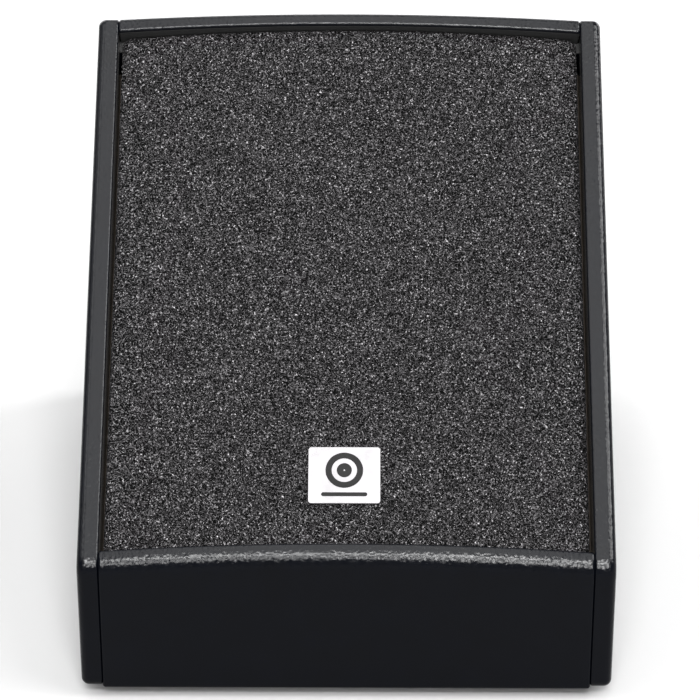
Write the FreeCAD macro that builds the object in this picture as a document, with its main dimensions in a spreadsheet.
import FreeCAD, Part
import math
import os
import Sketcher

# Stage monitor wedge with a 12 inch coaxial driver, in millimetres, +Z up.
# X is the width, the kick panel faces -Y and the feet stand on Z = 0.
# The origin is under the middle of the cabinet's bounding box.
#
# Three working frames hold the pieces:
#   slope frame  origin on the sharp edge between kick panel and sloped front, x across,
#                y up the slope, z out of the slope
#   rear frame   origin on the sharp edge between rear panel and bottom, x across,
#                y up the rear panel, z into the cabinet
#   driver frame the slope frame moved up the slope to the driver's axis

DIMENSIONS = {
    # cabinet
    "width": 370.0,
    "ply": 15.0,
    "slope_length": 434.0,
    "baffle_tilt": 38.0,
    "rear_lean": 15.0,
    "kick_height": 98.0,
    "foot_height": 8.0,
    "front_crown": 5.3,
    "outer_round": 5.5,
    "seam_round": 1.8,
    "kick_round": 17.0,
    "top_round": 6.0,
    "heel_round": 10.0,
    "toe_round": 1.3,
    "cheek_toe_round": 6.0,
    "lip_bottom": 13.5,
    "lip_bottom_arch": 4.1,
    "lip_top": 15.7,
    "lip_top_arch": 3.5,
    "lip_inner_round": 2.2,
    "rebate_depth": 16.5,
    "batten": 20.0,
    "batten_start": 80.0,
    "batten_end": 370.0,
    "window_margin": 1.0,
    # baffle board, grille and foam
    "baffle_drop": 36.0,
    "foam_top": 0.5,
    "foam_radius": 1885.0,
    "foam_thick": 6.5,
    "foam_gap": 2.5,
    "foam_end_gap": 1.0,
    "foam_hole": 2.0,
    "grille_thick": 1.5,
    "grille_half": 167.0,
    "grille_foot": 8.0,
    "grille_start": 19.0,
    "grille_end": 417.5,
    "grille_leg_start": 74.0,
    "grille_leg_end": 394.0,
    "grille_clearance": 0.2,
    "grille_fold": 0.6,
    "grille_screw_inset": 3.2,
    "grille_screw_low": 90.0,
    "grille_screw_high": 350.0,
    "perforation": 6.0,
    "perforation_pitch": 24.0,
    "perforation_land": 4.0,
    "stud_land": 7.0,
    # badge
    "badge_width": 49.7,
    "badge_height": 41.3,
    "badge_thick": 1.3,
    "badge_rise": 34.7,
    "badge_offset": -1.7,
    "badge_corner": 2.0,
    "badge_lift": 0.2,
    "badge_stud": 1.5,
    "badge_stud_length": 12.0,
    "badge_stud_spread": 15.0,
    "push_nut_radius": 5.0,
    "push_nut_thick": 0.8,
    "push_nut_level": 10.2,
    # ports
    "port_offset": 128.0,
    "port_rise": 34.0,
    "port_bore": 28.0,
    "port_wall": 2.5,
    "port_flange": 35.0,
    "port_length": 45.0,
    # low frequency driver
    "driver_rise": 200.0,
    "cutout": 139.0,
    "frame_radius": 156.0,
    "frame_inner": 131.0,
    "frame_thick": 4.0,
    "bolt_circle": 150.0,
    "bolt_count": 8.0,
    "roll_centre": 123.0,
    "roll_radius": 10.0,
    "roll_wall": 0.8,
    "roll_lip": 10.0,
    "glue_width": 6.0,
    "gasket_width": 9.0,
    "gasket_thick": 3.0,
    "cone_wall": 1.5,
    "cone_depth": 46.0,
    "former_radius": 31.8,
    "former_wall": 0.5,
    "winding_wall": 0.9,
    "winding_length": 14.0,
    "plate_level": 100.0,
    "top_plate_thick": 8.0,
    "top_plate_radius": 72.0,
    "gap_radius": 33.8,
    "magnet_thick": 20.0,
    "magnet_radius": 78.0,
    "magnet_bore": 42.0,
    "back_plate_thick": 8.0,
    "pole_radius": 31.0,
    "pole_bore": 17.5,
    "spider_level": 89.6,
    "spider_radius": 75.0,
    "spider_wall": 0.8,
    "spider_wave": 2.4,
    "shelf_inner": 65.0,
    "shelf_width": 12.0,
    "basket_foot": 78.0,
    "basket_wall": 4.2,
    "basket_windows": 6.0,
    "window_near": 88.0,
    "window_near_half": 26.0,
    "window_far_half": 39.0,
    "tee_nut_radius": 4.5,
    "tee_nut_length": 10.0,
    "tee_nut_flange": 9.0,
    "tee_nut_flange_thick": 1.5,
    # high frequency driver, bolted to the back of the magnet
    "hf_radius": 44.0,
    "hf_bolt_circle": 40.0,
    "hf_bolt_count": 4.0,
    "hf_plate_thick": 8.0,
    "hf_magnet_radius": 33.0,
    "hf_magnet_bore": 23.5,
    "hf_magnet_thick": 12.0,
    "hf_gap_plate_thick": 6.0,
    "hf_gap_radius": 23.2,
    "hf_pole_radius": 21.2,
    "hf_throat": 12.7,
    "hf_surround_inner": 24.6,
    "hf_surround_thick": 0.6,
    "hf_coil_length": 6.0,
    "hf_coil_lead": 0.2,
    "hf_slot_half": 0.7,
    "hf_slot_inner": 5.0,
    "hf_slot_outer": 12.0,
    "hf_coil_radius": 21.8,
    "hf_coil_wall": 0.5,
    "hf_cap_radius": 36.0,
    "hf_cap_wall": 2.0,
    "hf_cap_length": 36.0,
    # crossover
    "board_width": 180.0,
    "board_depth": 96.0,
    "board_thick": 1.6,
    "board_start": 292.0,
    "standoff": 10.0,
    "board_inset": 6.0,
    "standoff_radius": 4.0,
    "inductor_bore": 9.0,
    "capacitor_radius": 10.5,
    "capacitor_length": 44.0,
    "resistor_length": 36.0,
    "resistor_side": 9.0,
    "lamp_radius": 5.5,
    "lamp_length": 34.0,
    # rear hardware
    "dish_height": 105.0,
    "dish_width": 110.0,
    "dish_tall": 64.0,
    "dish_depth": 22.0,
    "dish_flange": 12.0,
    "dish_wall": 1.5,
    "dish_corner": 8.0,
    "socket_spread": 27.0,
    "socket_radius": 12.0,
    "socket_bore": 9.6,
    "socket_post": 3.8,
    "socket_flange_width": 26.0,
    "socket_flange_tall": 31.0,
    "socket_flange_thick": 2.5,
    "socket_bore_depth": 20.5,
    "socket_length": 28.0,
    "socket_corner": 3.0,
    "socket_key_half": 1.4,
    "socket_key_reach": 10.8,
    "socket_screw_x": 9.5,
    "socket_screw_y": 12.0,
    "tab_spread_x": 6.0,
    "tab_spread_y": 5.0,
    "tab_half_width": 2.0,
    "tab_half_thick": 0.4,
    "tab_length": 7.0,
    "handle_height": 250.0,
    "handle_width": 120.0,
    "handle_tall": 76.0,
    "handle_depth": 46.0,
    "handle_wall": 2.5,
    "handle_flange": 13.0,
    "handle_corner": 10.0,
    "bar_radius": 9.0,
    "bar_depth": 9.5,
    # feet
    "foot_radius": 16.0,
    "foot_spread": 145.0,
    "foot_front": 40.0,
    "foot_back": 375.0,
    "foot_taper": 2.0,
    "foot_counterbore": 6.0,
    # damping wool and wiring
    "wool_thick": 12.0,
    "wire_radius": 1.2,
    # drilled holes, by radius
    "port_clearance": 0.1,
    "tee_nut_hole": 4.6,
    "woofer_bolt_hole": 2.8,
    "grille_screw_hole": 1.6,
    "badge_stud_hole": 1.8,
    "hf_bolt_hole": 2.6,
    "hf_tapped_hole": 2.55,
    "hf_tapped_depth": 7.0,
    "board_screw_hole": 1.7,
    "standoff_hole": 1.65,
    "board_pilot_hole": 1.55,
    "dish_pilot_hole": 1.8,
    "dish_screw_hole": 2.0,
    "handle_pilot_hole": 2.1,
    "handle_screw_hole": 2.3,
    "foot_screw_hole": 2.1,
    "socket_screw_hole": 1.6,
}

# Screws as (head radius, height), (shank radius, length), (hexagon radius, depth) or None.
FASTENERS = {
    "grille_screws": ((3.0, 2.0), (1.5, 14.0), None),
    "woofer_screws": ((4.2, 3.5), (2.45, 26.0), (2.2, 2.0)),
    "hf_bolts": ((3.4, 4.0), (2.5, 14.0), (1.9, 2.0)),
    "crossover_screws": ((3.2, 2.2), (1.5, 22.0), (1.6, 1.2)),
    "dish_screws": ((3.6, 2.4), (1.75, 14.0), (1.8, 1.3)),
    "socket_screws": ((2.6, 1.6), (1.5, 8.0), (1.3, 0.9)),
    "handle_screws": ((4.2, 2.8), (2.05, 15.0), (2.1, 1.5)),
    "foot_screws": ((4.5, 2.6), (2.05, 16.0), (2.1, 1.4)),
}

# How far a cutting tool runs past the faces it cuts.
OVERRUN = 1.0


class Size:
    """A number from the sheet that remembers the expression it comes from."""

    def __init__(self, value, text):
        self.value = value
        self.text = text

    def __add__(self, other):
        other = as_size(other)
        return Size(self.value + other.value, f"({self.text} + {other.text})")

    def __sub__(self, other):
        other = as_size(other)
        return Size(self.value - other.value, f"({self.text} - {other.text})")

    def __mul__(self, other):
        other = as_size(other)
        return Size(self.value * other.value, f"({self.text} * {other.text})")

    def __truediv__(self, other):
        other = as_size(other)
        return Size(self.value / other.value, f"({self.text} / {other.text})")

    def __radd__(self, other):
        return as_size(other) + self

    def __rsub__(self, other):
        return as_size(other) - self

    def __rmul__(self, other):
        return as_size(other) * self

    def __rtruediv__(self, other):
        return as_size(other) / self

    def __neg__(self):
        return as_size(0.0) - self


def as_size(number):
    if isinstance(number, Size):
        return number
    return Size(float(number), f"({float(number):.6f})")


def sine(angle):
    return Size(math.sin(math.radians(angle.value)), f"sin({angle.text})")


def cosine(angle):
    return Size(math.cos(math.radians(angle.value)), f"cos({angle.text})")


def tangent(angle):
    return Size(math.tan(math.radians(angle.value)), f"tan({angle.text})")


class Dimensions:
    """Reads a dimension of the sheet by its alias."""

    def __getattr__(self, alias):
        return Size(DIMENSIONS[alias], f"Dims.{alias}")


doc = FreeCAD.newDocument("StageMonitorWedge")
sheet = doc.addObject("Spreadsheet::Sheet", "Dims")
for row, (alias, value) in enumerate(DIMENSIONS.items(), start=1):
    sheet.set(f"A{row}", alias)
    sheet.set(f"B{row}", str(value))
    sheet.setAlias(f"B{row}", alias)
doc.recompute()

dim = Dimensions()
SUB_PARTS = []


# ---------------------------------------------------------------- derived sizes and frames

half_width = dim.width / 2
inner_half = half_width - dim.ply
slope_rise = dim.slope_length * sine(dim.baffle_tilt)
slope_run = dim.slope_length * cosine(dim.baffle_tilt)
top_edge_height = dim.kick_height + slope_rise
heel_run = slope_run + top_edge_height * tangent(dim.rear_lean)
heel_trim = dim.heel_round * (tangent(dim.rear_lean) + 1.0 / cosine(dim.rear_lean) - 1.0)
front_y = (heel_trim - heel_run) / 2
wedge_angle = 90.0 - dim.baffle_tilt + dim.rear_lean
lip_end = dim.slope_length - dim.lip_top
UPRIGHT = as_size(0.0)
REAR_TURN = 90.0 + dim.rear_lean


def on_slope(rise=0.0, out=0.0):
    """The point of the row's frame at a distance up the slope and out of it."""
    rise = as_size(rise)
    out = as_size(out)
    along = front_y + rise * cosine(dim.baffle_tilt) - out * sine(dim.baffle_tilt)
    high = dim.foot_height + dim.kick_height
    high = high + rise * sine(dim.baffle_tilt) + out * cosine(dim.baffle_tilt)
    return (0.0, along, high)


SLOPE = (on_slope(), dim.baffle_tilt)
DRIVER = (on_slope(dim.driver_rise), dim.baffle_tilt)
REAR = ((0.0, front_y + heel_run, dim.foot_height), REAR_TURN)
FLOOR = ((0.0, front_y, dim.foot_height), UPRIGHT)


def to_slope(along, high):
    """A cabinet section point, from kick face and cabinet bottom, in slope coordinates."""
    drop = as_size(high) - dim.kick_height
    along = as_size(along)
    rise = along * cosine(dim.baffle_tilt) + drop * sine(dim.baffle_tilt)
    out = drop * cosine(dim.baffle_tilt) - along * sine(dim.baffle_tilt)
    return (rise, out)


def kick_inner(out):
    """Where the kick panel's inner face crosses a level of the slope frame."""
    return dim.ply / cosine(dim.baffle_tilt) + as_size(out) * tangent(dim.baffle_tilt)


def rear_inner(out):
    """Where the rear panel's inner face crosses a level of the slope frame."""
    return dim.slope_length - dim.ply / sine(wedge_angle) + as_size(out) / tangent(wedge_angle)


# ---------------------------------------------------------------- building helpers

def bind(target, path, size):
    size = as_size(size)
    target.setExpression(path, size.text)


def put(target, frame, offset=(0.0, 0.0, 0.0)):
    """Places an object in a working frame, turned about X and moved by a row-frame offset."""
    origin, turn = frame
    base = [as_size(origin[i]) + as_size(offset[i]) for i in range(3)]
    point = FreeCAD.Vector(*[part.value for part in base])
    rotation = FreeCAD.Rotation(FreeCAD.Vector(1, 0, 0), turn.value)
    target.Placement = FreeCAD.Placement(point, rotation)
    for axis, size in zip("xyz", base):
        bind(target, f"Placement.Base.{axis}", size)
    bind(target, "Placement.Rotation.Angle", turn)
    return target


def sub_part(target, label):
    target.Label = label
    SUB_PARTS.append(target)
    return target


def primitive(kind, at, **sizes):
    made = doc.addObject(f"Part::{kind}", kind.lower())
    for name, size in sizes.items():
        setattr(made, name, as_size(size).value)
        bind(made, name, size)
    corner = FreeCAD.Vector(*[as_size(part).value for part in at])
    made.Placement = FreeCAD.Placement(corner, FreeCAD.Rotation())
    for axis, size in zip("xyz", at):
        bind(made, f"Placement.Base.{axis}", size)
    return made


def cylinder(at, radius, height):
    return primitive("Cylinder", at, Radius=radius, Height=height)


def cylinder_across(at, radius, length, axis):
    """A cylinder that runs along +X or +Y from the point at."""
    made = cylinder(at, radius, length)
    turns = {"x": (FreeCAD.Vector(0, 1, 0), 90), "y": (FreeCAD.Vector(1, 0, 0), -90)}
    made.Placement.Rotation = FreeCAD.Rotation(*turns[axis])
    return made


def cone(at, radius_low, radius_high, height):
    return primitive("Cone", at, Radius1=radius_low, Radius2=radius_high, Height=height)


def box(low, high):
    """A box between two opposite corners."""
    spans = [as_size(high[i]) - as_size(low[i]) for i in range(3)]
    return primitive("Box", low, Length=spans[0], Width=spans[1], Height=spans[2])


def centred_box(centre, width, tall, low, high):
    """A box centred on (x, y) of centre, between two levels of z."""
    x, y = as_size(centre[0]), as_size(centre[1])
    return box((x - width / 2, y - tall / 2, low), (x + width / 2, y + tall / 2, high))


def fuse(*shapes):
    made = doc.addObject("Part::MultiFuse", "fusion")
    made.Shapes = list(shapes)
    return made


def cut(base, *tools):
    made = doc.addObject("Part::Cut", "cut")
    made.Base = base
    made.Tool = tools[0] if len(tools) == 1 else fuse(*tools)
    return made


def common(base, tool):
    made = doc.addObject("Part::Common", "common")
    made.Base = base
    made.Tool = tool
    return made


def group(*solids):
    made = doc.addObject("Part::Compound", "group")
    made.Links = list(solids)
    return made


def rounded(target, radius, *directions):
    """Rounds the straight edges of an object that run along the given directions."""
    doc.recompute()
    made = doc.addObject("Part::Fillet", "rounded")
    made.Base = target
    size = as_size(radius).value
    picked = edges_along(target.Shape, *directions)
    made.Edges = [(index, size, size) for index in picked]
    return made


def edges_along(shape, *directions):
    picked = []
    for index, edge in enumerate(shape.Edges, start=1):
        if edge.Curve.TypeId != "Part::GeomLine":
            continue
        if any(abs(edge.Curve.Direction.dot(FreeCAD.Vector(*way))) > 0.999 for way in directions):
            picked.append(index)
    return picked


def new_body(name):
    return doc.addObject("PartDesign::Body", name)


def sketch_on(body, role):
    plane = [item for item in body.Origin.OriginFeatures if item.Role == role][0]
    made = body.newObject("Sketcher::SketchObject", "sketch")
    made.AttachmentSupport = [(plane, "")]
    made.MapMode = "FlatFace"
    return made


def bind_point(sketch, piece, end, point):
    """Holds one end of a sketch piece at a point, measured from the sketch origin."""
    for kind, size in zip(("DistanceX", "DistanceY"), point):
        size = as_size(size)
        constraint = Sketcher.Constraint(kind, -1, 1, piece, end, size.value)
        number = sketch.addConstraint(constraint)
        bind(sketch, f"Constraints[{number}]", size)


def outline(sketch, points):
    """A closed polygon whose corners are bound to the sheet."""
    corners = [FreeCAD.Vector(as_size(x).value, as_size(y).value, 0) for x, y in points]
    first = sketch.GeometryCount
    count = len(points)
    for i in range(count):
        sketch.addGeometry(Part.LineSegment(corners[i], corners[(i + 1) % count]), False)
    for i in range(count):
        joint = Sketcher.Constraint("Coincident", first + i, 2, first + (i + 1) % count, 1)
        sketch.addConstraint(joint)
    for i in range(count):
        bind_point(sketch, first + i, 1, points[i])


def arched_outline(sketch, reach, springing, rise, far):
    """A closed outline between an arch across the sketch and a straight side at a far level."""
    radius = (reach * reach + rise * rise) / (2.0 * rise)
    centre = FreeCAD.Vector(0, (springing + rise - radius).value, 0)
    angle = math.asin(reach.value / radius.value)
    circle = Part.Circle(centre, FreeCAD.Vector(0, 0, 1), radius.value)
    arch = Part.ArcOfCircle(circle, math.pi / 2 - angle, math.pi / 2 + angle)
    sketch.addGeometry(arch, False)
    corners = [(-reach, springing), (-reach, far), (reach, far), (reach, springing)]
    points = [FreeCAD.Vector(x.value, y.value, 0) for x, y in corners]
    for i in range(3):
        sketch.addGeometry(Part.LineSegment(points[i], points[i + 1]), False)
    for first, second in (((0, 2), (1, 1)), ((1, 2), (2, 1)), ((2, 2), (3, 1)), ((3, 2), (0, 1))):
        sketch.addConstraint(Sketcher.Constraint("Coincident", *first, *second))
    for piece, end, corner in ((1, 1, 0), (1, 2, 1), (3, 1, 2), (3, 2, 3)):
        bind_point(sketch, piece, end, corners[corner])
    number = sketch.addConstraint(Sketcher.Constraint("Radius", 0, radius.value))
    bind(sketch, f"Constraints[{number}]", radius)


def pad(body, sketch, length, symmetric=False, reverse=False):
    made = body.newObject("PartDesign::Pad", "pad")
    made.Profile = sketch
    if symmetric:
        made.SideType = "Symmetric"
    made.Reversed = reverse
    bind(made, "Length", length)
    return made


def pocket(body, sketch, length):
    """A pocket that cuts the given length, half to each side of its sketch."""
    doc.recompute()
    before = body.Shape.Volume
    made = body.newObject("PartDesign::Pocket", "pocket")
    made.Profile = sketch
    made.SideType = "Symmetric"
    bind(made, "Length", length)
    doc.recompute()
    if body.Shape.Volume >= before:
        raise ValueError(f"{body.Name}: a pocket cuts nothing")
    return made


def turned(points):
    """A body turned about its own Z axis from a closed profile of (radius, level) points."""
    body = new_body("turned")
    sketch = sketch_on(body, "XZ_Plane")
    outline(sketch, points)
    made = body.newObject("PartDesign::Revolution", "revolution")
    made.Profile = sketch
    made.ReferenceAxis = (sketch, ["V_Axis"])
    made.Angle = 360.0
    return body


def ring(inner, outer, low, high):
    return turned([(inner, low), (outer, low), (outer, high), (inner, high)])


def prism(role, points, length, symmetric=False, reverse=False):
    """A body padded from a closed polygon on one of its own planes."""
    body = new_body("prism")
    sketch = sketch_on(body, role)
    outline(sketch, points)
    pad(body, sketch, length, symmetric, reverse)
    return body


def round_edges(body, radius, chooser):
    """Rounds the edges of a body's last feature that the chooser accepts."""
    doc.recompute()
    base = body.Tip
    names = []
    for index, edge in enumerate(base.Shape.Edges, start=1):
        if chooser(edge):
            names.append(f"Edge{index}")
    made = body.newObject("PartDesign::Fillet", "rounding")
    made.Base = (base, names)
    bind(made, "Radius", radius)
    doc.recompute()
    return made


def edge_through(*points):
    """Accepts an edge whose middle lies near one of the given body points."""
    targets = [FreeCAD.Vector(*[as_size(part).value for part in point]) for point in points]

    def accepts(edge):
        middle = edge.valueAt((edge.FirstParameter + edge.LastParameter) / 2)
        return any(middle.distanceToPoint(target) < 0.5 for target in targets)

    return accepts


def polar(radius, angle):
    angle = as_size(angle)
    return (radius * cosine(angle), radius * sine(angle))


def circle_places(radius, count, first_angle):
    step = 360.0 / int(count.value)
    return [polar(radius, first_angle + step * i) for i in range(int(count.value))]


def screw(kind, place, level, out):
    """A screw seated at a level, its head on the out side (+1 up, -1 down) of its frame."""
    head, shank, socket = FASTENERS[kind]
    x, y = place
    level = as_size(level)
    head_radius, head_height = head
    shank_radius, shank_length = shank
    head_low = level if out > 0 else level - head_height
    shank_low = level - shank_length if out > 0 else level
    whole = fuse(
        cylinder((x, y, head_low), head_radius, head_height),
        cylinder((x, y, shank_low), shank_radius, shank_length),
    )
    if socket is None:
        return whole
    socket_radius, socket_depth = socket
    socket_low = head_low + head_height - socket_depth if out > 0 else head_low
    recess = primitive("Prism", (x, y, socket_low), Circumradius=socket_radius, Height=socket_depth)
    recess.Polygon = 6
    return cut(whole, recess)


def screws(label, frame, places, level, out):
    made = group(*[screw(label, place, level, out) for place in places])
    put(made, frame)
    return sub_part(made, label)


def holes(places, radius, low, high):
    """Drills for a set of holes between two levels."""
    return [cylinder((x, y, low), radius, as_size(high) - low) for x, y in places]


# ---------------------------------------------------------------- cabinet

def side_panel(label, side):
    """One cheek, from its section in cabinet coordinates, with its outer rim rounded."""
    body = new_body("side_panel")
    sketch = sketch_on(body, "YZ_Plane")
    top = (slope_run, top_edge_height)
    corners = [(0.0, 0.0), (0.0, dim.kick_height), top, (heel_run, 0.0)]
    outline(sketch, corners)
    pad(body, sketch, dim.ply, reverse=side < 0)
    middle = dim.ply.value / 2 * side
    rounds = [dim.cheek_toe_round, dim.kick_round, dim.top_round, dim.heel_round]
    for corner, radius in zip(corners, rounds):
        round_edges(body, radius, edge_through((middle, corner[0], corner[1])))
    outer_face = dim.ply.value * side
    for level, radius in ((outer_face, dim.outer_round), (0.0, dim.seam_round)):
        def on_face(edge, level=level):
            return abs(edge.BoundBox.XMin - level) < 0.01 and abs(edge.BoundBox.XMax - level) < 0.01
        round_edges(body, radius, on_face)
    put(body, FLOOR, (inner_half * side, 0.0, 0.0))
    return sub_part(body, label)


def crown_section(body, base_out):
    """Trims a blank in the slope frame to the crown of the front."""
    sketch = sketch_on(body, "XZ_Plane")
    arched_outline(sketch, inner_half, as_size(0.0), dim.front_crown, base_out)
    pocket(body, sketch, 4.0 * dim.slope_length)


def lip_rebate(body, springing, arch):
    """Cuts the shoulder that the grille and foam end against, arched like the crown."""
    sketch = sketch_on(body, "XY_Plane")
    arched_outline(sketch, inner_half, springing, arch, dim.slope_length / 2)
    pocket(body, sketch, 2.0 * dim.rebate_depth)


def board_end(first, second):
    """Accepts a crossing board's end edges on the line through two section points."""
    start = FreeCAD.Vector(0, *[as_size(part).value for part in first])
    heading = FreeCAD.Vector(0, *[as_size(part).value for part in second]) - start

    def accepts(edge):
        bounds = edge.BoundBox
        middle = edge.valueAt((edge.FirstParameter + edge.LastParameter) / 2)
        aside = FreeCAD.Vector(0, middle.y, middle.z).distanceToLine(start, heading)
        at_end = abs(abs(middle.x) - inner_half.value) < 0.01 and bounds.XLength < 0.01
        return at_end and aside < 0.01

    return accepts


def crowned_edge(rise):
    """Accepts the arched edge across the front at a rise up the slope, at its crown."""
    return edge_through((0.0, rise, dim.front_crown))


def kick_panel():
    blank = 2.0 * dim.front_crown
    outer_top = (blank * tangent(dim.baffle_tilt), blank)
    inner_top = (kick_inner(blank), blank)
    inner_low = to_slope(dim.ply, 0.0)
    outer_low = to_slope(0.0, 0.0)
    corners = [outer_low, outer_top, inner_top, inner_low]
    body = prism("YZ_Plane", corners, 2.0 * inner_half, symmetric=True)
    crown_section(body, blank)
    sharp = dim.front_crown * tangent(dim.baffle_tilt)
    round_edges(body, dim.kick_round, crowned_edge(sharp))
    round_edges(body, dim.toe_round, edge_through((0.0, *outer_low)))
    lip_rebate(body, dim.lip_bottom, dim.lip_bottom_arch)
    round_edges(body, dim.lip_inner_round, crowned_edge(dim.lip_bottom + dim.lip_bottom_arch))
    round_edges(body, dim.seam_round, board_end(outer_low, outer_top))
    put(body, SLOPE)
    return sub_part(body, "kick_panel")


def rear_blank():
    """The rear panel's board in the slope frame, before its cut-outs."""
    blank = 2.0 * dim.front_crown
    outer_top = (dim.slope_length + blank / tangent(wedge_angle), blank)
    inner_top = (rear_inner(blank), blank)
    outer_low = to_slope(heel_run, 0.0)
    inner_low = to_slope(heel_run - dim.ply / cosine(dim.rear_lean), 0.0)
    corners = [outer_low, outer_top, inner_top, inner_low]
    body = prism("YZ_Plane", corners, 2.0 * inner_half, symmetric=True)
    crown_section(body, blank)
    sharp = dim.slope_length + dim.front_crown / tangent(wedge_angle)
    round_edges(body, dim.top_round, crowned_edge(sharp))
    round_edges(body, dim.heel_round, edge_through((0.0, *outer_low)))
    lip_rebate(body, lip_end, dim.lip_top_arch)
    round_edges(body, dim.lip_inner_round, crowned_edge(lip_end + dim.lip_top_arch))
    round_edges(body, dim.seam_round, board_end(outer_low, outer_top))
    put(body, SLOPE)
    return body


def panel_window(height, width, tall, margin):
    """A through cut-out of the rear panel, placed in the rear frame."""
    reach = dim.ply * 2
    made = centred_box((0.0, height), width + margin, tall + margin, -reach, reach)
    window = group(made)
    put(window, REAR)
    return window


def rear_panel():
    dish_margin = 2.0 * dim.dish_wall + dim.window_margin
    handle_margin = 2.0 * dim.handle_wall + dim.window_margin
    windows = [
        panel_window(dim.dish_height, dim.dish_width, dim.dish_tall, dish_margin),
        panel_window(dim.handle_height, dim.handle_width, dim.handle_tall, handle_margin),
    ]
    pilots = (
        (dish_screw_places(), dim.dish_pilot_hole),
        (handle_screw_places(), dim.handle_pilot_hole),
    )
    for places, radius in pilots:
        for drill in holes(places, radius, -dim.ply, 2.0 * dim.ply):
            made = group(drill)
            put(made, REAR)
            windows.append(made)
    sub_part(cut(rear_blank(), *windows), "rear_panel")


def bottom_panel():
    inner_low = heel_run - dim.ply / cosine(dim.rear_lean)
    inner_high = inner_low - dim.ply * tangent(dim.rear_lean)
    corners = [(dim.ply, 0.0), (inner_low, 0.0), (inner_high, dim.ply), (dim.ply, dim.ply)]
    body = prism("YZ_Plane", corners, 2.0 * inner_half, symmetric=True)
    drills = holes(foot_places(), dim.foot_screw_hole, -OVERRUN, 2.0 * dim.ply)
    drills += holes(board_screw_places(), dim.board_pilot_hole, dim.ply / 5, 2.0 * dim.ply)
    made = cut(body, *drills)
    put(made, FLOOR)
    sub_part(made, "bottom_panel")


def baffle_board():
    front = -dim.baffle_drop
    back = front - dim.ply
    corners = [
        (kick_inner(front), front),
        (kick_inner(back), back),
        (rear_inner(back), back),
        (rear_inner(front), front),
    ]
    body = prism("YZ_Plane", corners, 2.0 * inner_half, symmetric=True)
    low = back - OVERRUN
    high = front + OVERRUN
    port_hole = dim.port_bore + dim.port_wall + dim.port_clearance
    drills = [cylinder((0.0, dim.driver_rise, low), dim.cutout, high - low)]
    drills += holes(port_places(), port_hole, low, high)
    drills += holes(woofer_bolt_places(dim.driver_rise), dim.tee_nut_hole, low, high)
    drills += holes(grille_screw_places(), dim.grille_screw_hole, low, high)
    made = cut(body, *drills)
    put(made, SLOPE)
    sub_part(made, "baffle_board")


def battens():
    back = -dim.baffle_drop - dim.ply
    start = dim.batten_start
    end = dim.batten_end
    bars = []
    for low, high in ((inner_half - dim.batten, inner_half), (-inner_half, dim.batten - inner_half)):
        bars.append(box((low, start, back - dim.batten), (high, end, back)))
    made = group(*bars)
    put(made, SLOPE)
    sub_part(made, "baffle_battens")


def port_places():
    return [(-dim.port_offset, dim.port_rise), (dim.port_offset, dim.port_rise)]


def port_tubes():
    front = -dim.baffle_drop
    outer = dim.port_bore + dim.port_wall
    end = front - dim.port_length
    tubes = []
    for x, y in port_places():
        tube = cylinder((x, y, end), outer, dim.port_length)
        flange = cylinder((x, y, front), dim.port_flange, dim.port_wall)
        bore_length = dim.port_length + dim.port_wall + 2.0 * OVERRUN
        bore = cylinder((x, y, end - OVERRUN), dim.port_bore, bore_length)
        tubes.append(cut(fuse(tube, flange), bore))
    made = group(*tubes)
    put(made, SLOPE)
    sub_part(made, "port_tubes")


# ---------------------------------------------------------------- grille, foam and badge

def sleeve(radius, low, high):
    """A cylinder along the slope whose crown is the given radius above its axis."""
    axis_level = -dim.foam_top - dim.foam_radius
    return cylinder_across((0.0, low, axis_level), radius, as_size(high) - low, "y")


def stud_places():
    rise = dim.lip_bottom + dim.badge_rise + dim.badge_height / 2
    left = dim.badge_offset - dim.badge_stud_spread
    right = dim.badge_offset + dim.badge_stud_spread
    return [(left, rise), (right, rise)]


def end_trim(springing, arch, far):
    """A tool that trims the foam along an arched end."""
    body = new_body("end_trim")
    sketch = sketch_on(body, "XY_Plane")
    arched_outline(sketch, inner_half, springing, arch, far)
    pad(body, sketch, 8.0 * dim.foam_thick, symmetric=True)
    return body


def acoustic_foam():
    middle = dim.slope_length / 2
    reach = inner_half - dim.foam_gap
    deep = 4.0 * dim.foam_thick
    slab = box((-reach, 0.0, -deep), (reach, dim.slope_length, 0.0))
    crowned = common(slab, sleeve(dim.foam_radius, 0.0, dim.slope_length))
    inner = sleeve(dim.foam_radius - dim.foam_thick, -OVERRUN, dim.slope_length + OVERRUN)
    lower = end_trim(dim.lip_bottom + dim.foam_end_gap, dim.lip_bottom_arch, middle)
    upper = end_trim(lip_end - dim.foam_end_gap, dim.lip_top_arch, middle)
    drills = holes(stud_places(), dim.foam_hole, -deep, OVERRUN)
    made = cut(common(crowned, fuse(lower, upper)), inner, *drills)
    put(made, SLOPE)
    sub_part(made, "acoustic_foam")


def perforation_drills():
    """Staggered rows of round holes along and across the grille."""
    pitch = dim.perforation_pitch.value
    margin = (dim.perforation + dim.perforation_land).value
    reach = dim.grille_half.value - margin
    low = dim.grille_start.value + margin
    high = dim.grille_end.value - margin
    depth = dim.baffle_drop.value
    studs = [(x.value, y.value) for x, y in stud_places()]
    stud_room = (dim.perforation + dim.stud_land).value
    drills = []
    row = 0
    rise = low
    while rise <= high:
        shift = pitch / 2 if row % 2 else 0.0
        column = -math.floor((reach + shift) / pitch)
        while column * pitch + shift <= reach:
            x = column * pitch + shift
            near = min(math.hypot(x - stud[0], rise - stud[1]) for stud in studs)
            if x >= -reach and near > stud_room:
                start = FreeCAD.Vector(x, rise, -depth)
                drills.append(Part.makeCylinder(dim.perforation.value, depth, start))
            column += 1
        rise += pitch * math.sqrt(3) / 2
        row += 1
    return drills


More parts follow.
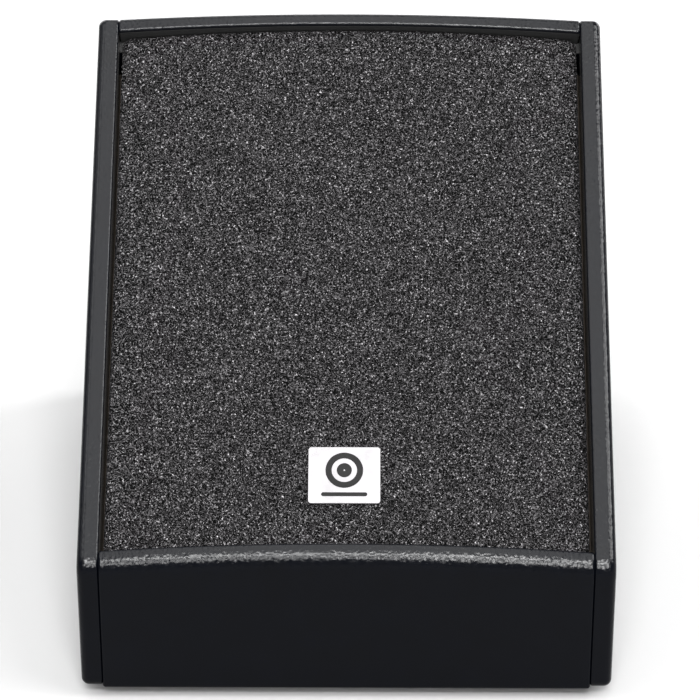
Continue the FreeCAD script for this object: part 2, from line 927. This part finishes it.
def grille():
    """A crowned perforated sheet on two folded legs that stand on the baffle board."""
    outer = dim.foam_radius - dim.foam_thick - dim.grille_clearance
    sheet_low = dim.grille_start
    sheet_high = dim.grille_end
    reach = dim.grille_half
    front = -dim.baffle_drop
    crown = common(
        box((-reach, sheet_low, front), (reach, sheet_high, 0.0)),
        sleeve(outer, sheet_low, sheet_high),
    )
    hollow = sleeve(outer - dim.grille_thick, sheet_low - OVERRUN, sheet_high + OVERRUN)
    skin = cut(crown, hollow)
    sag = reach * reach / (2.0 * outer)
    skin_top = -dim.foam_top - dim.foam_thick - dim.grille_clearance
    shoulder = skin_top - sag - dim.grille_fold
    pieces = [skin]
    for side in (-1.0, 1.0):
        far = reach * side
        near = (reach - dim.grille_thick) * side
        toe = (reach - dim.grille_foot) * side
        low_x, high_x = (far, near) if side < 0 else (near, far)
        foot_low, foot_high = (far, toe) if side < 0 else (toe, far)
        leg = box((low_x, dim.grille_leg_start, front), (high_x, dim.grille_leg_end, shoulder))
        foot = box(
            (foot_low, dim.grille_leg_start, front),
            (foot_high, dim.grille_leg_end, front + dim.grille_thick),
        )
        pieces += [leg, foot]
    drill = doc.addObject("Part::Feature", "perforation")
    drill.Shape = Part.makeCompound(perforation_drills())
    solid = fuse(*pieces)
    stud_drills = holes(stud_places(), dim.badge_stud_hole, front, 0.0)
    foot_top = front + dim.grille_thick + OVERRUN
    screw_drills = holes(grille_screw_places(), dim.grille_screw_hole, front - OVERRUN, foot_top)
    made = cut(cut(solid, drill), *stud_drills, *screw_drills)
    put(made, SLOPE)
    sub_part(made, "grille")
    screws("grille_screws", SLOPE, grille_screw_places(), front + dim.grille_thick, 1)


def grille_screw_places():
    offset = dim.grille_half - dim.grille_foot + dim.grille_screw_inset
    places = []
    for rise in (dim.grille_screw_low, dim.grille_screw_high):
        places += [(-offset, rise), (offset, rise)]
    return places


def badge():
    low = dim.lip_bottom + dim.badge_rise
    high = low + dim.badge_height
    left = dim.badge_offset - dim.badge_width / 2
    right = dim.badge_offset + dim.badge_width / 2
    level = dim.badge_lift - dim.foam_top
    body = prism("XY_Plane", [(left, low), (right, low), (right, high), (left, high)], dim.badge_thick)
    corner_edges = edge_through(
        *[(x, y, dim.badge_thick / 2) for x in (left, right) for y in (low, high)]
    )
    round_edges(body, dim.badge_corner, corner_edges)
    body.Placement.Base.z = level.value
    bind(body, "Placement.Base.z", level)
    stud_end = level - dim.badge_stud_length
    stud_length = dim.badge_stud_length + dim.badge_thick / 2
    studs = [cylinder((x, y, stud_end), dim.badge_stud, stud_length) for x, y in stud_places()]
    made = fuse(body, *studs)
    put(made, SLOPE)
    sub_part(made, "badge_plate")
    nut_hole = dim.badge_stud * 1.03
    nuts = []
    for x, y in stud_places():
        disc = cylinder((x, y, -dim.push_nut_level), dim.push_nut_radius, dim.push_nut_thick)
        bore_low = -dim.push_nut_level - OVERRUN
        bore = cylinder((x, y, bore_low), nut_hole, dim.push_nut_thick + 2.0 * OVERRUN)
        nuts.append(cut(disc, bore))
    made = group(*nuts)
    put(made, SLOPE)
    sub_part(made, "badge_push_nuts")


# ---------------------------------------------------------------- low frequency driver

flange_back = -dim.baffle_drop
flange_front = flange_back + dim.frame_thick
floor_level = -dim.plate_level
former_outer = dim.former_radius + dim.former_wall
cone_neck = flange_front - dim.cone_depth
magnet_front = floor_level - dim.top_plate_thick
magnet_back = magnet_front - dim.magnet_thick
motor_back = magnet_back - dim.back_plate_thick
rim_outer = dim.roll_centre - dim.roll_radius
rim_inner = rim_outer - dim.glue_width


def woofer_bolt_places(rise):
    places = circle_places(dim.bolt_circle, dim.bolt_count, 22.5)
    return [(x, y + rise) for x, y in places]


def woofer_basket():
    knee = dim.shelf_inner + dim.shelf_width + 2.0
    shelf = -dim.spider_level
    body = turned([
        (dim.frame_inner, flange_front),
        (dim.frame_radius, flange_front),
        (dim.frame_radius, flange_back),
        (dim.cutout - 0.5, flange_back),
        (dim.cutout - 0.5, flange_back - 5.0),
        (knee + 5.0, shelf + 1.6),
        (dim.basket_foot, floor_level),
        (dim.magnet_bore + 3.0, floor_level),
        (dim.magnet_bore + 3.0, floor_level + 3.0),
        (dim.shelf_inner, floor_level + 3.0),
        (dim.shelf_inner, shelf),
        (dim.shelf_inner + dim.shelf_width, shelf),
        (knee, shelf + 2.6),
        (dim.frame_inner, flange_back - 1.8 - dim.basket_wall),
    ])
    sketch = sketch_on(body, "XY_Plane")
    near = dim.window_near
    far = dim.frame_inner - 7.0
    low = dim.window_near_half
    high = dim.window_far_half
    outline(sketch, [(near, -low), (far, -high), (far, high), (near, low)])
    window = pocket(body, sketch, 4.0 * dim.plate_level)
    pattern = body.newObject("PartDesign::PolarPattern", "windows")
    pattern.Originals = [window]
    turn_axis = [item for item in body.Origin.OriginFeatures if item.Role == "Z_Axis"][0]
    pattern.Axis = (turn_axis, [""])
    pattern.Angle = 360.0
    bind(pattern, "Occurrences", dim.basket_windows)
    body.Tip = pattern
    low = flange_back - OVERRUN
    drills = holes(woofer_bolt_places(0.0), dim.woofer_bolt_hole, low, flange_front + OVERRUN)
    made = cut(body, *drills)
    put(made, DRIVER)
    sub_part(made, "woofer_basket")


def woofer_suspension():
    """The half-roll surround and the corrugated spider."""
    middle = (0.0, 0.0, flange_front)
    roll_inner = dim.roll_radius - dim.roll_wall
    tube = primitive("Torus", middle, Radius1=dim.roll_centre, Radius2=dim.roll_radius)
    core = primitive("Torus", middle, Radius1=dim.roll_centre, Radius2=roll_inner)
    reach = dim.frame_radius
    below = box((-reach, -reach, flange_front - 2.0 * dim.roll_radius), (reach, reach, flange_front))
    roll = cut(tube, core, below)
    outer_low = dim.roll_centre + dim.roll_radius - dim.roll_wall
    outer = ring(outer_low, outer_low + dim.roll_lip, flange_front, flange_front + dim.roll_wall)
    inner = ring(rim_inner, rim_outer + dim.roll_wall, flange_front, flange_front + dim.roll_wall)
    made = fuse(roll, outer, inner)
    put(made, DRIVER)
    sub_part(made, "woofer_surround")

    waves = 5
    start = former_outer + 3.0
    span = dim.shelf_inner - start
    level = -dim.spider_level
    top = [(former_outer + 0.3, level + dim.spider_wall), (start, level + dim.spider_wall)]
    for i in range(waves):
        crest = start + span * ((i + 0.5) / waves)
        valley = start + span * ((i + 1.0) / waves)
        top.append((crest, level + dim.spider_wall + dim.spider_wave))
        top.append((valley, level + dim.spider_wall))
    top.append((dim.spider_radius, level + dim.spider_wall))
    low = [(radius, height - dim.spider_wall) for radius, height in reversed(top)]
    spider = turned(top + low)
    put(spider, DRIVER)
    sub_part(spider, "woofer_spider")


def gasket():
    inner = dim.roll_centre + dim.roll_radius + 0.4
    low = flange_front + dim.roll_wall
    made = ring(inner, inner + dim.gasket_width, low, low + dim.gasket_thick)
    put(made, DRIVER)
    sub_part(made, "woofer_gasket")


def woofer_moving_parts():
    """Cone, former and winding, which move together along the driver's axis."""
    made = turned([
        (rim_outer, flange_front - 0.3),
        (rim_inner, flange_front - 0.3),
        (former_outer, cone_neck),
        (former_outer, cone_neck - dim.cone_wall),
        (rim_inner, flange_front - 0.3 - dim.cone_wall),
        (rim_outer, flange_front - 0.3 - dim.cone_wall),
    ])
    put(made, DRIVER)
    sub_part(made, "woofer_cone")
    coil_middle = floor_level - dim.top_plate_thick / 2
    coil_low = coil_middle - dim.winding_length / 2
    coil_high = coil_middle + dim.winding_length / 2
    made = ring(dim.former_radius, former_outer, coil_low, cone_neck + 1.0)
    put(made, DRIVER)
    sub_part(made, "voice_coil_former")
    made = ring(former_outer, former_outer + dim.winding_wall, coil_low, coil_high)
    put(made, DRIVER)
    sub_part(made, "voice_coil_winding")


def woofer_motor():
    made = ring(dim.gap_radius, dim.top_plate_radius, magnet_front, floor_level)
    put(made, DRIVER)
    sub_part(made, "woofer_top_plate")
    made = ring(dim.magnet_bore, dim.magnet_radius, magnet_back, magnet_front)
    put(made, DRIVER)
    sub_part(made, "woofer_magnet")
    yoke = turned([
        (dim.pole_bore, motor_back),
        (dim.top_plate_radius, motor_back),
        (dim.top_plate_radius, magnet_back),
        (dim.pole_radius, magnet_back),
        (dim.pole_radius, floor_level),
        (dim.pole_bore, floor_level),
    ])
    places = circle_places(dim.hf_bolt_circle, dim.hf_bolt_count, 45.0)
    tapped_end = motor_back + dim.hf_tapped_depth
    made = cut(yoke, *holes(places, dim.hf_tapped_hole, motor_back - OVERRUN, tapped_end))
    put(made, DRIVER)
    sub_part(made, "woofer_back_plate")


def woofer_fasteners():
    places = woofer_bolt_places(0.0)
    screws("woofer_screws", DRIVER, places, flange_front, 1)
    board_back = flange_back - dim.ply
    nut_low = board_back - dim.tee_nut_flange_thick
    bore_low = nut_low - OVERRUN
    bore_length = dim.tee_nut_length + dim.tee_nut_flange_thick + 2.0 * OVERRUN
    thread = 2.5
    nuts = []
    for x, y in places:
        barrel = cylinder((x, y, board_back), dim.tee_nut_radius, dim.tee_nut_length)
        flange = cylinder((x, y, nut_low), dim.tee_nut_flange, dim.tee_nut_flange_thick)
        nuts.append(cut(fuse(barrel, flange), cylinder((x, y, bore_low), thread, bore_length)))
    made = group(*nuts)
    put(made, DRIVER)
    sub_part(made, "tee_nuts")


def terminal_block(low, high, tab_level, spread):
    """An insulating block on the driver's upper side with two solder tabs."""
    half = spread + 6.0
    block = box((-half, low[0], low[1]), (half, high[0], high[1]))
    tabs = []
    for side in (-1.0, 1.0):
        x = spread * side
        tabs.append(box((x - 2.4, high[0], tab_level - 0.4), (x + 2.4, high[0] + 8.0, tab_level + 0.4)))
    return fuse(block, *tabs)


def driver_terminals():
    woofer_block = terminal_block((104.0, -98.0), (114.0, -84.0), -90.0, 8.0)
    hf_block = terminal_block((36.0, -166.0), (45.0, -154.0), -160.0, 7.0)
    made = group(woofer_block, hf_block)
    put(made, DRIVER)
    sub_part(made, "driver_terminals")


# ---------------------------------------------------------------- high frequency driver

hf_plate_back = motor_back - dim.hf_plate_thick
hf_magnet_back = hf_plate_back - dim.hf_magnet_thick
hf_motor_back = hf_magnet_back - dim.hf_gap_plate_thick
hf_coil_outer = dim.hf_coil_radius + dim.hf_coil_wall


def hf_driver():
    horn = turned([
        (dim.hf_throat, motor_back),
        (dim.hf_throat + 2.0, floor_level - 2.0),
        (26.5, floor_level + 29.0),
        (44.0, floor_level + 45.0),
        (46.5, floor_level + 45.0),
        (46.5, floor_level + 43.5),
        (29.0, floor_level + 28.0),
        (dim.pole_bore - 0.2, floor_level + 1.0),
        (dim.pole_bore - 0.2, motor_back),
    ])
    put(horn, DRIVER)
    sub_part(horn, "hf_horn")

    places = circle_places(dim.hf_bolt_circle, dim.hf_bolt_count, 45.0)
    plate = ring(dim.hf_throat, dim.hf_radius, hf_plate_back, motor_back)
    low = hf_plate_back - OVERRUN
    made = cut(plate, *holes(places, dim.hf_bolt_hole, low, motor_back + OVERRUN))
    put(made, DRIVER)
    sub_part(made, "hf_front_plate")
    screws("hf_bolts", DRIVER, places, hf_plate_back, -1)

    surround_low = hf_motor_back - dim.hf_surround_thick
    coil_low = hf_motor_back - dim.hf_coil_lead
    coil_high = hf_motor_back + dim.hf_coil_length
    rings = (
        ("hf_magnet", dim.hf_magnet_bore, dim.hf_magnet_radius, hf_magnet_back, hf_plate_back),
        ("hf_gap_plate", dim.hf_gap_radius, dim.hf_magnet_radius, hf_motor_back, hf_magnet_back),
        ("hf_pole", dim.hf_throat, dim.hf_pole_radius, hf_motor_back, hf_plate_back),
        ("hf_surround", dim.hf_surround_inner, dim.hf_magnet_radius, surround_low, hf_motor_back),
        ("hf_voice_coil", dim.hf_coil_radius, hf_coil_outer, coil_low, coil_high),
    )
    for label, inner, outer, low, high in rings:
        made = ring(inner, outer, low, high)
        put(made, DRIVER)
        sub_part(made, label)

    plug = turned([
        (0.0, hf_motor_back),
        (20.0, hf_motor_back),
        (19.0, hf_motor_back - 0.6),
        (11.0, hf_motor_back - 3.0),
        (0.0, hf_motor_back - 4.0),
    ])
    slots = []
    for i in range(8):
        low = (dim.hf_slot_inner, -dim.hf_slot_half, hf_motor_back - 6.0)
        high = (dim.hf_slot_outer, dim.hf_slot_half, hf_motor_back + 2.0)
        slot = box(low, high)
        turned_slot = group(slot)
        turned_slot.Placement.Rotation = FreeCAD.Rotation(FreeCAD.Vector(0, 0, 1), 45.0 * i)
        slots.append(turned_slot)
    made = cut(plug, *slots)
    put(made, DRIVER)
    sub_part(made, "hf_phase_plug")

    rim = hf_motor_back - dim.hf_coil_lead
    made = turned([
        (hf_coil_outer, rim),
        (12.5, rim - 4.8),
        (0.0, rim - 6.4),
        (0.0, rim - 7.0),
        (12.8, rim - 5.4),
        (hf_coil_outer, rim - 0.6),
    ])
    put(made, DRIVER)
    sub_part(made, "hf_diaphragm")

    inner = dim.hf_cap_radius - dim.hf_cap_wall
    cap_back = hf_plate_back - dim.hf_cap_length
    made = turned([
        (0.0, cap_back),
        (dim.hf_cap_radius, cap_back),
        (dim.hf_cap_radius, hf_plate_back),
        (inner, hf_plate_back),
        (inner, cap_back + dim.hf_cap_wall),
        (0.0, cap_back + dim.hf_cap_wall),
    ])
    put(made, DRIVER)
    sub_part(made, "hf_rear_cap")


# ---------------------------------------------------------------- crossover

board_level = dim.ply + dim.standoff
board_top = board_level + dim.board_thick


def board_screw_places():
    reach = dim.board_width / 2 - dim.board_inset
    low = dim.board_start + dim.board_inset
    high = dim.board_start + dim.board_depth - dim.board_inset
    return [(-reach, low), (reach, low), (reach, high), (-reach, high)]


def crossover():
    half = dim.board_width / 2
    end = dim.board_start + dim.board_depth
    board = box((-half, dim.board_start, board_level), (half, end, board_top))
    low = board_level - OVERRUN
    made = cut(board, *holes(board_screw_places(), dim.board_screw_hole, low, board_top + OVERRUN))
    put(made, FLOOR)
    sub_part(made, "crossover_board")

    posts = []
    for x, y in board_screw_places():
        post = cylinder((x, y, dim.ply), dim.standoff_radius, dim.standoff)
        bore_length = dim.standoff + 2.0 * OVERRUN
        bore = cylinder((x, y, dim.ply - OVERRUN), dim.standoff_hole, bore_length)
        posts.append(cut(post, bore))
    made = group(*posts)
    put(made, FLOOR)
    sub_part(made, "crossover_standoffs")
    screws("crossover_screws", FLOOR, board_screw_places(), board_top, 1)

    coils = []
    for x, y, radius, height in ((-56.0, 340.0, 24.0, 26.0), (0.0, 350.0, 17.0, 20.0)):
        outer = cylinder((x, y, board_top), radius, height)
        bore_low = board_top - OVERRUN
        bore = cylinder((x, y, bore_low), dim.inductor_bore, height + 2.0 * OVERRUN)
        coils.append(cut(outer, bore))
    made = group(*coils)
    put(made, FLOOR)
    sub_part(made, "crossover_inductors")

    radius = dim.capacitor_radius
    cans = []
    for y in (318.0, 343.0):
        start = (28.0, y, board_top + radius)
        cans.append(cylinder_across(start, radius, dim.capacitor_length, "x"))
    made = group(*cans)
    put(made, FLOOR)
    sub_part(made, "crossover_capacitors")

    side = dim.resistor_side
    blocks = []
    for y in (358.0, 371.0):
        corner = (28.0 + dim.resistor_length, y + side, board_top + side)
        blocks.append(box((28.0, y, board_top), corner))
    made = group(*blocks)
    put(made, FLOOR)
    sub_part(made, "crossover_resistors")
    start = (-18.0, 310.0, board_top + dim.lamp_radius)
    lamp = cylinder_across(start, dim.lamp_radius, dim.lamp_length, "x")
    made = group(lamp)
    put(made, FLOOR)
    sub_part(made, "protection_lamp")


# ---------------------------------------------------------------- rear hardware

def corner_places(height, reach_x, reach_y):
    return [(x, height + y) for x in (-reach_x, reach_x) for y in (-reach_y, reach_y)]


def dish_screw_places():
    inset = dim.dish_flange / 2
    return corner_places(dim.dish_height, dim.dish_width / 2 + inset, dim.dish_tall / 2 + inset)


def handle_screw_places():
    inset = dim.handle_flange / 2
    reach_x = dim.handle_width / 2 + inset
    return corner_places(dim.handle_height, reach_x, dim.handle_tall / 2 + inset)


def flanged_cup(height, width, tall, depth, wall, flange, plate, corner):
    """A pressed cup with a mounting flange, open to the outside of the rear panel."""
    z_axis = (0.0, 0.0, 1.0)
    rim = centred_box((0.0, height), width + 2.0 * flange, tall + 2.0 * flange, -plate, 0.0)
    rim = rounded(rim, corner, z_axis)
    tub = centred_box((0.0, height), width + 2.0 * wall, tall + 2.0 * wall, -plate / 2, depth + wall)
    tub = rounded(tub, corner * 0.75, z_axis)
    hollow = centred_box((0.0, height), width, tall, -2.0 * plate, depth)
    hollow = rounded(hollow, corner * 0.6, z_axis)
    return cut(fuse(rim, tub), hollow)


def socket_places():
    return [(-dim.socket_spread, dim.dish_height), (dim.socket_spread, dim.dish_height)]


def socket_screw_places():
    places = []
    for x, y in socket_places():
        places.append((x - dim.socket_screw_x, y + dim.socket_screw_y))
        places.append((x + dim.socket_screw_x, y - dim.socket_screw_y))
    return places


def connector_dish():
    cup = flanged_cup(
        dim.dish_height,
        dim.dish_width,
        dim.dish_tall,
        dim.dish_depth,
        dim.dish_wall,
        dim.dish_flange,
        dim.dish_wall,
        dim.dish_corner,
    )
    floor_front = dim.dish_depth - OVERRUN
    floor_back = dim.dish_depth + dim.dish_wall + OVERRUN
    drills = holes(dish_screw_places(), dim.dish_screw_hole, -2.0 * dim.dish_wall, dim.dish_wall)
    drills += holes(socket_places(), dim.socket_radius * 1.02, floor_front, floor_back)
    drills += holes(socket_screw_places(), dim.socket_screw_hole, floor_front, floor_back)
    made = cut(cup, *drills)
    put(made, REAR)
    sub_part(made, "connector_dish")
    screws("dish_screws", REAR, dish_screw_places(), -dim.dish_wall, -1)


def speaker_socket(label, place):
    x, y = place
    front = dim.dish_depth - dim.socket_flange_thick
    plate = centred_box(
        place, dim.socket_flange_width, dim.socket_flange_tall, front, dim.dish_depth
    )
    plate = rounded(plate, dim.socket_corner, (0.0, 0.0, 1.0))
    barrel = cylinder((x, y, front), dim.socket_radius, dim.socket_length + dim.socket_flange_thick)
    before = front - OVERRUN
    bore = cylinder((x, y, before), dim.socket_bore, dim.socket_bore_depth + OVERRUN)
    post_low = front + dim.socket_bore_depth / 2
    post = cylinder((x, y, post_low), dim.socket_post, dim.socket_bore_depth / 2 + OVERRUN)
    narrow = dim.socket_key_half
    reach = dim.socket_key_reach
    key_back = front + dim.socket_bore_depth * 0.6
    keys = []
    for along_x, along_y in ((narrow, reach), (reach, narrow)):
        keys.append(box((x - along_x, y - along_y, before), (x + along_x, y + along_y, key_back)))
    screw_drills = []
    for offset in (1.0, -1.0):
        hole_x = x - dim.socket_screw_x * offset
        hole_y = y + dim.socket_screw_y * offset
        depth = dim.socket_flange_thick + 2.0 * OVERRUN
        screw_drills.append(cylinder((hole_x, hole_y, before), dim.socket_screw_hole, depth))
    made = fuse(cut(fuse(plate, barrel), bore, *keys, *screw_drills), post)
    put(made, REAR)
    sub_part(made, label)


def sockets():
    for label, place in zip(("socket_input", "socket_link"), socket_places()):
        speaker_socket(label, place)
    front = dim.dish_depth - dim.socket_flange_thick
    screws("socket_screws", REAR, socket_screw_places(), front, -1)
    tabs = []
    back = dim.dish_depth + dim.socket_length
    for x, y in socket_places():
        for step_x in (-dim.tab_spread_x, dim.tab_spread_x):
            for step_y in (-dim.tab_spread_y, dim.tab_spread_y):
                centre = (x + step_x, y + step_y)
                width = 2.0 * dim.tab_half_width
                thick = 2.0 * dim.tab_half_thick
                tabs.append(centred_box(centre, width, thick, back, back + dim.tab_length))
    made = group(*tabs)
    put(made, REAR)
    sub_part(made, "socket_tabs")


def handle():
    cup = flanged_cup(
        dim.handle_height,
        dim.handle_width,
        dim.handle_tall,
        dim.handle_depth,
        dim.handle_wall,
        dim.handle_flange,
        dim.handle_wall,
        dim.handle_corner,
    )
    drills = holes(handle_screw_places(), dim.handle_screw_hole, -2.0 * dim.handle_wall, dim.handle_wall)
    made = cut(cup, *drills)
    put(made, REAR)
    sub_part(made, "handle_cup")
    start = (-dim.handle_width / 2, dim.handle_height, dim.bar_depth)
    made = group(cylinder_across(start, dim.bar_radius, dim.handle_width, "x"))
    put(made, REAR)
    sub_part(made, "handle_bar")
    screws("handle_screws", REAR, handle_screw_places(), -dim.handle_wall, -1)


# ---------------------------------------------------------------- feet and damping

def foot_places():
    reaches = (-dim.foot_spread, dim.foot_spread)
    return [(x, y) for x in reaches for y in (dim.foot_front, dim.foot_back)]


def feet():
    pads = []
    tall = dim.foot_height
    narrow = dim.foot_radius - dim.foot_taper
    for x, y in foot_places():
        pad_body = cone((x, y, -tall), narrow, dim.foot_radius, tall)
        counterbore = cylinder((x, y, -tall - OVERRUN), dim.foot_counterbore, tall / 2 + OVERRUN)
        through = cylinder((x, y, -tall), dim.foot_screw_hole, tall + OVERRUN)
        pads.append(cut(pad_body, counterbore, through))
    made = group(*pads)
    put(made, FLOOR)
    sub_part(made, "rubber_feet")
    screws("foot_screws", FLOOR, foot_places(), -tall / 2, -1)


def damping_wool():
    corners = [(110.0, 42.0), (398.0, 42.0), (345.0, 235.0), (110.0, 60.0)]
    for label, side in (("damping_wool_left", -1.0), ("damping_wool_right", 1.0)):
        made = prism("YZ_Plane", corners, dim.wool_thick, reverse=side > 0)
        put(made, FLOOR, (inner_half * side, 0.0, 0.0))
        sub_part(made, label)


# ---------------------------------------------------------------- internal wiring

def wire_tube(points):
    """A round wire along straight runs joined by tangent arcs."""
    radius = dim.wire_radius.value
    path = []
    start = points[0]
    for i in range(1, len(points) - 1):
        corner = points[i]
        back = (points[i - 1] - corner)
        ahead = (points[i + 1] - corner)
        room = 0.45 * min(back.Length, ahead.Length)
        back.normalize()
        ahead.normalize()
        enter = corner + back * room
        leave = corner + ahead * room
        half_turn = (math.pi - back.getAngle(ahead)) / 2
        bend = room / math.tan(half_turn)
        bisector = (back + ahead).normalize()
        centre = corner + bisector * math.hypot(room, bend)
        middle = centre - bisector * bend
        path.append(Part.LineSegment(start, enter).toShape())
        path.append(Part.Arc(enter, middle, leave).toShape())
        start = leave
    path.append(Part.LineSegment(start, points[-1]).toShape())
    spine = Part.Wire(path)
    heading = (points[1] - points[0]).normalize()
    section = Part.Wire([Part.makeCircle(radius, points[0], heading)])
    tube = spine.makePipeShell([section], True, True)
    expected = math.pi * radius * radius * spine.Length
    if abs(tube.Volume - expected) > 0.02 * expected:
        raise ValueError("a wire's volume differs from its section times its length")
    return tube


def row_point(frame, x, y, z):
    """A point given in a working frame, in row coordinates."""
    origin, turn = frame
    base = FreeCAD.Vector(*[as_size(part).value for part in origin])
    rotation = FreeCAD.Rotation(FreeCAD.Vector(1, 0, 0), turn.value)
    local = [as_size(part).value for part in (x, y, z)]
    return base + rotation.multVec(FreeCAD.Vector(*local))


def wiring():
    """Two-core runs from the sockets to the crossover and from there to each driver."""
    tab_back = dim.dish_depth + dim.socket_length + dim.tab_length
    tab_row = dim.dish_height - dim.tab_spread_y
    rise = FreeCAD.Vector(0, 0, 1)
    runs = {"input_wires": [], "woofer_wires": [], "hf_wires": []}
    for side in (-1.0, 1.0):
        x = (dim.tab_spread_x * side - dim.socket_spread).value
        leave = row_point(REAR, x, tab_row, tab_back)
        out = row_point(REAR, x, tab_row, tab_back + 14.0)
        landing = row_point(FLOOR, x * 0.6, 383.0, board_top)
        runs["input_wires"].append(wire_tube([leave, out, landing + rise * 14.0, landing]))
        x = 8.0 * side
        leave = row_point(DRIVER, x, 122.0, -90.0)
        out = row_point(DRIVER, x, 136.0, -90.0)
        landing = row_point(FLOOR, 84.0 + x * 0.4, 340.0 + x, board_top)
        runs["woofer_wires"].append(wire_tube([leave, out, landing + rise * 30.0, landing]))
        x = 7.0 * side
        leave = row_point(DRIVER, x, 53.0, -160.0)
        out = row_point(DRIVER, x, 60.0, -160.0)
        landing = row_point(FLOOR, x * 0.7 + 76.0, 372.0, board_top)
        runs["hf_wires"].append(wire_tube([leave, out, landing + rise * 22.0, landing]))
    for label, tubes in runs.items():
        made = doc.addObject("Part::Feature", label)
        made.Shape = Part.makeCompound(tubes)
        sub_part(made, label)


# ---------------------------------------------------------------- assembly and export

side_panel("side_panel_left", -1)
side_panel("side_panel_right", 1)
kick_panel()
rear_panel()
bottom_panel()
baffle_board()
battens()
port_tubes()
acoustic_foam()
grille()
badge()
woofer_basket()
woofer_suspension()
gasket()
woofer_moving_parts()
woofer_motor()
woofer_fasteners()
driver_terminals()
hf_driver()
crossover()
connector_dish()
sockets()
handle()
feet()
damping_wool()
wiring()
doc.recompute()

for item in doc.Objects:
    if "Invalid" in item.State or "Error" in item.State:
        raise ValueError(f"{item.Label} failed: {item.State}")
for item in SUB_PARTS:
    if item.Shape.isNull() or not item.Shape.isValid() or not item.Shape.Solids:
        raise ValueError(f"{item.Label} has no valid solid")

os.makedirs("parts", exist_ok=True)
for item in SUB_PARTS:
    item.Shape.exportStep(f"parts/{item.Label}.step")
print(f"{len(SUB_PARTS)} sub-parts written")
